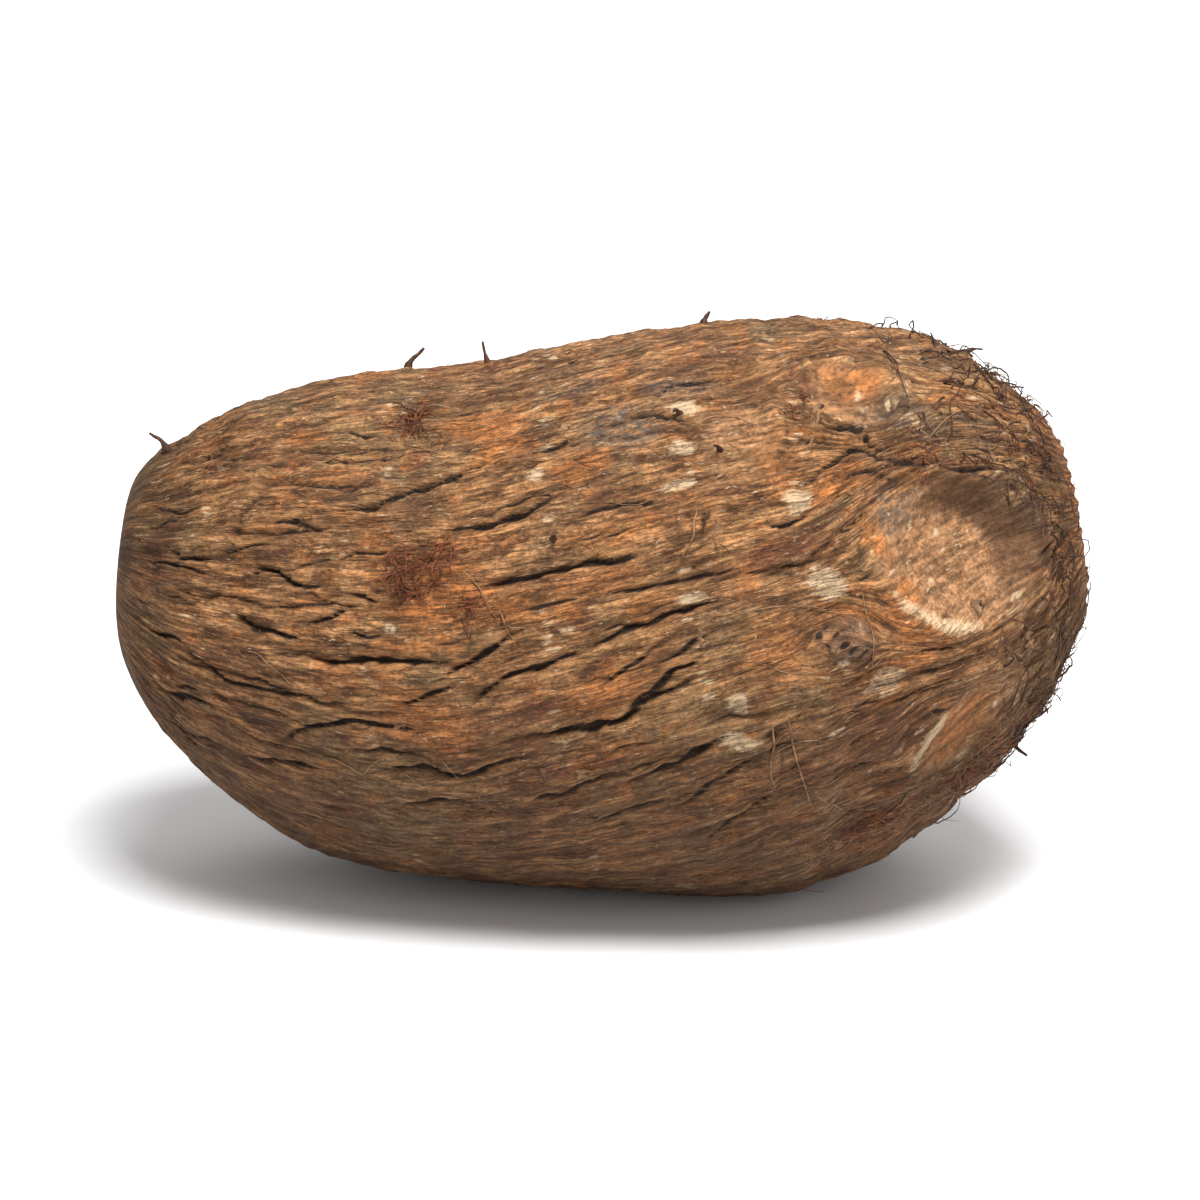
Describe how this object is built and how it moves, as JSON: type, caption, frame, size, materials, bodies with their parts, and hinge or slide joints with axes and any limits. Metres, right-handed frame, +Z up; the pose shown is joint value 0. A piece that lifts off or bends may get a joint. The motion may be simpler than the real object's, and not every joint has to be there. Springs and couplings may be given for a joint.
{
  "type": "taro root",
  "caption": "Egg-long taro corm lying on its side, with leaf-scar rings, wavy furrows, dished side-corm scars, short root stubs and a flat crown disc.",
  "frame": {"origin": "under the middle of the bounding box, on the surface that the corm lies on", "axes": "+X along the corm from its base to its crown, +Y to the side that both ends bow towards, +Z up"},
  "size_m": [0.1108, 0.0686, 0.0656],
  "materials": {
    "corm_skin": "rough dry brown skin"
  },
  "bodies": {
    "root": {"corm": "corm_skin"}
  },
  "joints": []
}
